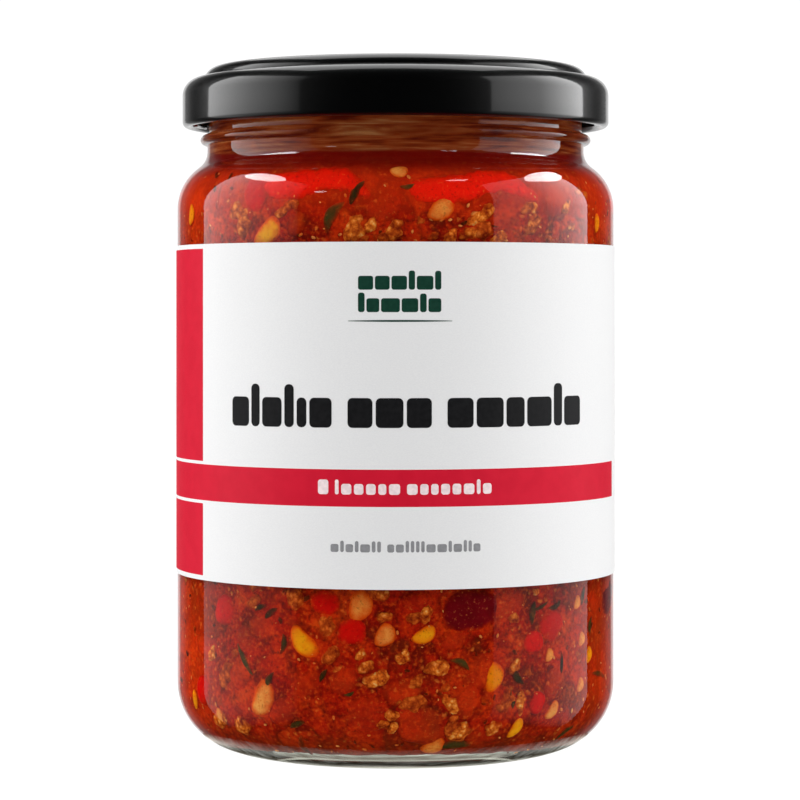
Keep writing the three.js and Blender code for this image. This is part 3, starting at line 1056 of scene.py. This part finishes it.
FRONT_MEAT = [
    (2.2, 23.6, 70, 1.15), (1.6, 22.4, 10, 0.8), (-7.5, 20.7, 30, 0.8), (-5.1, 18.6, 20, 1.1),
    (-3.4, 19.2, 80, 0.7), (10.4, 20.7, 10, 1.0), (12.6, 20.2, 30, 0.9), (5.2, 17.9, 70, 1.0),
    (-2.7, 30.0, 10, 0.7), (-16.7, 22.6, 50, 1.0), (-18.0, 28.2, 80, 1.0), (4.3, 13.8, 10, 1.1),
    (1.0, 14.6, 30, 0.7), (-0.9, 11.7, 20, 0.85), (-3.2, 10.2, 0, 0.6), (-0.6, 9.8, 60, 0.6),
    (17.1, 8.7, 20, 1.2), (14.8, 9.6, 70, 0.9), (13.2, 17.0, 10, 0.7), (4.8, 30.2, 40, 1.0),
    (8.0, 30.8, 70, 0.9), (-54.8, 9.4, 30, 1.2), (-45.9, 8.7, 10, 1.1), (-50.0, 17.5, 60, 1.2),
    (-46.0, 22.5, 20, 1.1), (-56.0, 21.0, 80, 1.1), (-27.8, 107.7, 10, 0.8), (-30.5, 106.4, 30, 0.7),
    (-26.9, 33.2, 80, 1.2), (-10.7, 102.8, 70, 1.3), (-8.0, 101.6, 20, 1.1), (-6.3, 103.6, 80, 1.0),
    (21.3, 105.0, 10, 1.2), (24.0, 106.3, 50, 0.9), (23.0, 103.0, 0, 1.1), (-0.4, 102.6, 60, 1.0),
    (9.9, 102.1, 20, 1.1), (14.0, 101.4, 70, 1.1), (36.8, 107.0, 10, 1.0), (38.0, 104.0, 60, 1.1),
    (-45.9, 107.2, 30, 1.0), (-43.0, 104.0, 80, 1.2), (53.0, 104.4, 20, 1.2), (50.0, 107.5, 60, 1.0),
    (19.0, 101.8, 10, 1.0), (27.5, 101.6, 40, 0.9)]
FRONT_HERBS = [
    (-30.2, 24.3, 82, 1.05), (-18.7, 19.0, 60, 0.60), (16.9, 21.4, -28, 0.75), (16.6, 6.4, 3, 1.10),
    (-42.6, 21.4, -58, 1.00), (33.3, 18.3, -55, 1.30), (-26.7, 10.0, 20, 0.75), (-16.0, 105.4, 60, 1.35),
    (-10.0, 109.9, 60, 0.75), (30.6, 14.6, 70, 0.30), (3.2, 111.0, 10, 0.70), (31.9, 13.2, 80, 0.50),
    (55.1, 7.2, 40, 0.80), (38.1, 29.8, 80, 0.70), (40.5, 31.0, 20, 0.50), (45.9, 31.4, 20, 0.90),
    (58.0, 32.0, 70, 0.80), (-34.2, 17.4, 70, 0.70), (-34.0, 30.0, 40, 0.60),
    (48.0, 19.0, 80, 0.80), (-11.8, 15.7, 20, 0.50), (-37.2, 31.0, 20, 0.60), (62.0, 26.0, 80, 0.70)]


def at_front(places, half, stand):
    """Spots for pieces of a half thickness, so that each stands out of the sauce by the same."""
    return [spot(turn, height, stand - half * size, spin, size) for turn, height, spin, size in places]


def sunk(name, shapes, places, draw, slot, finish, **settings):
    """A kind of piece that is sunk in the sauce, from its shapes and places to its finish."""
    return dressed(set_in(name, shapes, places, draw, **settings), finish)


def make_pieces():
    """Every kind of piece: first the ones at the front, in their places, then the scattered ones."""
    draw = random.Random(5)
    front = FRONT_CORN + FRONT_BEANS + FRONT_PEPPER
    clear = [(t, z, 3.4) for t, z, *_ in front] + [(19.8, 30.3, 6.5)]
    clear += [(turn, 110, 4.5) for turn in range(-32, 42, 6)]
    elsewhere = [(0, 20, 60), (0, 106, 60)]

    shapes = [bean(i, (8.6 * MM, (4.9 + 0.3 * i) * MM, 3.4 * MM)) for i in range(3)]
    places = at_front(FRONT_CORN, 1.7, 1.15)
    places += [strewn(draw, -0.5, 0.1, -0.2, (0.5, 0.85), avoid=elsewhere) for _ in range(22)]
    sunk("corn_kernels", shapes, places, draw, "corn_and_bean",
         sunk_finish("corn_skin", varied(*CORN), (0.02, 0.88), halo=(0.92, 0.10, 0.002)))

    shapes = [bean(10 + i, (8.2 * MM, (5.5 + 0.3 * i) * MM, 3.6 * MM)) for i in range(3)]
    places = at_front(FRONT_BEANS, 1.8, 1.1)
    places += [strewn(draw, -0.5, 0.1, -0.3, (0.5, 0.85), avoid=elsewhere) for _ in range(16)]
    sunk("pale_beans", shapes, places, draw, "corn_and_bean",
         sunk_finish("pale_bean_skin", varied(*PALE_BEAN), (0.05, 1.0), halo=(0.84, 0.10, 0.004)),
         first_tints=[1.0, 0.6, 0.8, 1.0, 1.0, 1.0, 0.7, 1.0, 0.5])

    shapes = [lump(20 + i, (11.5 * MM, 8.8 * MM, 6.6 * MM)) for i in range(2)]
    places = at_front(FRONT_KIDNEY, 3.3, 1.5)
    places += [spot(t, z, -1.9, draw.uniform(0, 180), 0.95) for t, z in OTHER_KIDNEY]
    sunk("kidney_beans", shapes, places, draw, "kidney_bean",
         sunk_finish("kidney_bean_skin", varied(*KIDNEY_BEAN), (0.05, 0.7)))

    shapes = [lump(30 + i, ((6.4 + 0.3 * i) * MM, (5.6 + 0.3 * i) * MM, 4.0 * MM)) for i in range(4)]
    places = at_front(FRONT_PEPPER, 2.0, 1.1)
    places += [strewn(draw, -0.5, 0.2, -1.2, (0.6, 1.1), avoid=elsewhere) for _ in range(24)]
    sunk("pepper_pieces", shapes, places, draw, "red_pepper",
         sunk_finish("pepper_flesh", varied(*PEPPER), (0.02, 0.80)))

    shapes = [strip(40 + i, length * MM, 5.0 * MM, 3.2 * MM) for i, length in enumerate(STRIP_LENGTHS)]
    sunk("pepper_strips", shapes, STRIP_PLACES, draw, "red_pepper",
         sunk_finish("pepper_strip_flesh", varied(*PEPPER_STRIP), (-0.15, 0.80)), bent=True)

    shapes = [lump(50 + i, ((8.5 + i) * MM, (6.5 + 0.6 * i) * MM, 4.4 * MM)) for i in range(4)]
    places = at_front(FRONT_TOMATO, 2.2, 0.8)
    places += [strewn(draw, -0.5, 0.1, -1.6, (0.6, 1.1), avoid=clear) for _ in range(64)]
    sunk("tomato_lumps", shapes, places, draw, "chili_sauce",
         sunk_finish("tomato_flesh", varied(*TOMATO), (-0.05, 1.35)))

    shapes = [crumb(60 + i, (2.9 + 0.3 * i) * MM) for i in range(6)]
    places = at_front(FRONT_MEAT, 1.2, 0.95)
    places += [strewn(draw, -0.9, 0.0, -0.5, (0.5, 1.1), avoid=clear) for _ in range(330)]
    sunk("meat_crumbs", shapes, places, draw, "meat",
         sunk_finish("minced_meat", meat_colour, (0.0, 0.7), roughness=0.6, bump=0.3, grain=0.6),
         first_tints=[1.0, 0.9, 0.8, 0.95, 0.8, 0.85, 0.75, 0.6, 0.7, 0.4, 0.4])

    shapes = [leaf(70 + i, (4.2 + 0.8 * i) * MM, (1.5 + 0.3 * i) * MM) for i in range(4)]
    shapes.append(leaf(74, 8.6 * MM, 1.5 * MM))
    places = at_front(FRONT_HERBS, 0.75, 0.75)
    places += [strewn(draw, -0.6, 0.0, 0, (0.4, 1.0), avoid=clear) for _ in range(34)]
    sunk("herb_slivers", shapes, places, draw, "herb",
         sunk_finish("herb_leaf", varied(*HERB), (0.0, 0.70), roughness=0.5))

    shapes = [fleck(80 + i, (0.9 + 0.25 * i) * MM) for i in range(4)]
    places = [strewn(draw, 0.0, 0.4, 0, (0.6, 1.3), avoid=clear) for _ in range(420)]
    sunk("spice_flecks", shapes, places, draw, "herb",
         sunk_finish("ground_spice", varied(*SPICE), (0.0, 0.6)))

    shapes = [fleck(90 + i, (0.45 + 0.13 * i) * MM) for i in range(4)]
    places = [strewn(draw, 0.3, 0.7, 0, (0.6, 1.4)) for _ in range(520)]
    sunk("seeds_and_oil", shapes, places, draw, "corn_and_bean",
         sunk_finish("seed_and_oil", varied(*SEED), (0.0, 0.5), roughness=0.3))


# ---------------------------------------------------------------- room, lamps, camera

CONTACT_RADIUS = 41 * MM
PANEL_SIDE = 0.46                      # metres, as all sizes of the room are
PANEL_LOW, PANEL_HIGH = -0.36, 0.54
JAR_MIDDLE = (0, 0, 0.07)
JAR_SHOULDER = (0, 0, 0.11)

# How bright the room is, from straight in front (0) to straight behind (1)
ROOM_GREYS = ((0.50, 0.004), (0.85, 0.008), (0.90, 0.06), (0.935, 0.17), (0.955, 0.18), (0.972, 0.80))

# Lamps that only the glass shows: place, size and brightness
FLASHES = (("left_flash", (-0.42, 0.0, 0.50), (0.30, 0.10), 9.0),
           ("right_flash", (0.42, 0.10, 0.46), (0.30, 0.13), 9.0),
           ("left_spark", (-0.55, -0.65, 0.47), (0.11, 0.05), 6.0),
           ("right_spark", (0.46, -0.55, 0.88), (0.19, 0.05), 6.0))

# Lamps that light everything and don't show
FILLS = (("front_fill", (0.10, -1.1, 0.95), (0.9, 0.9), 1.02),
         ("left_fill", (-0.42, -0.08, 0.16), (0.3, 0.3), 2.95),
         ("right_fill", (0.36, -0.24, 0.16), (0.3, 0.3), 1.55),
         ("back_fill", (-0.2, 1.1, 0.75), (0.9, 0.9), 1.8))


def make_floor():
    """A plain white floor."""
    floor = added("floor", bpy.ops.mesh.primitive_plane_add, size=6, location=(0, 0, -0.05 * MM))
    settled(floor)
    paint = Paint("white_floor")
    cloud = paint.noise(120 * MM, detail=1)
    white = paint.mix(paint.remap(cloud, 0.3, 0.7), (0.12, 0.12, 0.12), (0.13, 0.13, 0.13))
    floor.data.materials.append(paint.finished(paint.surface(
        white, 0.7, Specular_IOR_Level=0.0, Emission_Color=(1, 1, 1, 1), Emission_Strength=0.97)))
    floor.visible_glossy = False
    make_contact_shade()


def make_contact_shade():
    """The table right under the jar, as the thick base shows it: shaded, with brighter rings."""
    shade = added("contact_shade", bpy.ops.mesh.primitive_circle_add, vertices=96,
                  radius=CONTACT_RADIUS, fill_type="NGON", location=(0, 0, -0.02 * MM))
    settled(shade)
    paint = Paint("contact_shade")
    reach = paint.node("ShaderNodeVectorMath", {"operation": "LENGTH"}, {0: paint.place}, 1)
    streaks = paint.noise(2.5 * MM, detail=3, place=paint.shifted(scale=(0.25, 1.5, 1)))
    share = reach * (1 / CONTACT_RADIUS) + (streaks - 0.5) * 0.16
    glow = paint.ramp(share, (0.20, (0.30, 0.30, 0.26)), (0.62, (0.42, 0.42, 0.36)),
                      (0.74, (0.08, 0.07, 0.05)), (0.80, (0.50, 0.50, 0.44)),
                      (0.86, (0.06, 0.05, 0.03)), (0.93, (0.75, 0.75, 0.68)),
                      (1.0, (0.10, 0.09, 0.07)))
    shade.data.materials.append(paint.finished(paint.surface(
        (0.05, 0.05, 0.05), 0.7, Specular_IOR_Level=0.0, Emission_Color=glow, Emission_Strength=1.4)))
    shade.visible_camera = False


def make_world():
    """White for the camera, and a dim room for everything else: dark in front, paler behind."""
    world = bpy.data.worlds.new("studio")
    bpy.context.scene.world = world
    paint = Paint("studio", world)
    way = paint.node("ShaderNodeTexCoord", output="Generated")
    behind = paint.node("ShaderNodeSeparateXYZ", inputs={0: way}, output="Y")
    greys = paint.ramp(paint.remap_straight(behind, -1, 1), *[(at, (grey,) * 3) for at, grey in ROOM_GREYS])
    room = paint.node("ShaderNodeBackground", inputs={"Color": greys})
    white = paint.node("ShaderNodeBackground", inputs={"Color": (1, 1, 1, 1), "Strength": 1.05})
    seen = paint.node("ShaderNodeLightPath", output="Is Camera Ray")
    shown = paint.node("ShaderNodeMixShader", inputs={0: seen, 1: room, 2: white})
    paint.node("ShaderNodeOutputWorld", inputs={"Surface": shown})


def softbox(name, place, aim, size, radiance, shows=True):
    """A rectangular lamp of a given brightness, which reflections show or not."""
    lamp = bpy.data.lights.new(name, "AREA")
    lamp.shape = "RECTANGLE"
    lamp.size, lamp.size_y = size
    lamp.energy = radiance * math.pi * size[0] * size[1]
    box = bpy.data.objects.new(name, lamp)
    bpy.context.collection.objects.link(box)
    box.location = place
    box.rotation_euler = (Vector(aim) - Vector(place)).to_track_quat("-Z", "Y").to_euler()
    box.visible_glossy = shows
    box.visible_camera = False
    return box


def glowing_panel(name, side, along, strength):
    """A tall diffusing panel beside the jar that glows unevenly. Along are (depth, brightness)
    stops from the front to the back."""
    front, back = along[0][0], along[-1][0]
    panel = added(name, bpy.ops.mesh.primitive_plane_add, size=1)
    edit()
    bpy.ops.transform.rotate(value=math.pi / 2, orient_axis="Y", center_override=(0, 0, 0))
    bpy.ops.transform.resize(value=(1, back - front, PANEL_HIGH - PANEL_LOW))
    bpy.ops.transform.translate(value=(side, (front + back) / 2, (PANEL_LOW + PANEL_HIGH) / 2))
    done()
    paint = Paint(name + "_cloth")
    depth = paint.remap_straight(paint.axis("Y"), front, back)
    stops = [((y - front) / (back - front), (glow,) * 3) for y, glow in along]
    rise = paint.ramp(paint.remap_straight(paint.axis("Z"), PANEL_LOW, PANEL_HIGH),
                      (0.02, (0.0,) * 3), (0.24, (0.26,) * 3), (0.42, (0.28,) * 3), (0.57, (1.0,) * 3))
    glow = paint.mix(1.0, paint.ramp(depth, *stops), rise, "MULTIPLY")
    panel.data.materials.append(paint.finished(paint.surface(
        (0, 0, 0), 1.0, Specular_IOR_Level=0.0, Emission_Color=glow, Emission_Strength=strength)))
    panel.visible_camera = False


def make_lamps():
    """Two panels that the glass and the lid reflect, soft lamps and a sky. Returns the flashes."""
    glowing_panel("left_panel", -PANEL_SIDE, [(-0.386, 0.05), (-0.10, 0.42), (0.215, 1.0)], 2.5)
    glowing_panel("right_panel", PANEL_SIDE,
                  [(-0.386, 0.17), (-0.080, 0.30), (-0.06, 0.36), (0.218, 1.0)], 3.9)
    flashes = [softbox(name, place, JAR_SHOULDER, size, radiance) for name, place, size, radiance in FLASHES]
    for name, place, size, radiance in FILLS:
        softbox(name, place, JAR_MIDDLE, size, radiance, shows=False)
    softbox("overhead", (0, 0.60, 0.75), (0, 0.60, 0.1), (0.62, 1.24), 1.2)
    sky = bpy.data.lights.new("sky", "SUN")
    sky.energy = 1.0
    sky.angle = 1.2
    high = bpy.data.objects.new("sky", sky)
    bpy.context.collection.objects.link(high)
    high.visible_glossy = False
    return flashes


def only_on(piece, lamps):
    """Lets these lamps light and show on one piece alone."""
    group = bpy.data.collections.new("lit")
    group.objects.link(piece)
    for lamp in lamps:
        lamp.data.shape = "ELLIPSE"
        lamp.light_linking.receiver_collection = group


def make_camera():
    """Level with the middle of the label, with the view shifted down to take in the base."""
    lens = bpy.data.cameras.new("camera")
    lens.sensor_width = 36
    lens.lens = 134.6
    lens.shift_y = -90 / 800
    lens.clip_start = 0.01
    camera = bpy.data.objects.new("camera", lens)
    bpy.context.collection.objects.link(camera)
    camera.location = (0.9 * MM, -604 * MM, 87.8 * MM)
    camera.rotation_euler = (math.pi / 2, 0, 0)
    bpy.context.scene.camera = camera
    bpy.context.scene.view_settings.view_transform = "Standard"


# ---------------------------------------------------------------- everything together

make_camera()
make_world()
flashes = make_lamps()
make_floor()

glass = dressed(make_glass(), glass_finish())
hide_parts("jar")
only_on(glass, flashes)
lid = dressed(make_lid(), lid_finish())
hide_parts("lid")
label = dressed(make_label(), label_finish())
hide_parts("label")
make_print()
sauce = dressed(make_sauce(), sauce_finish())
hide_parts("chili")
make_pieces()
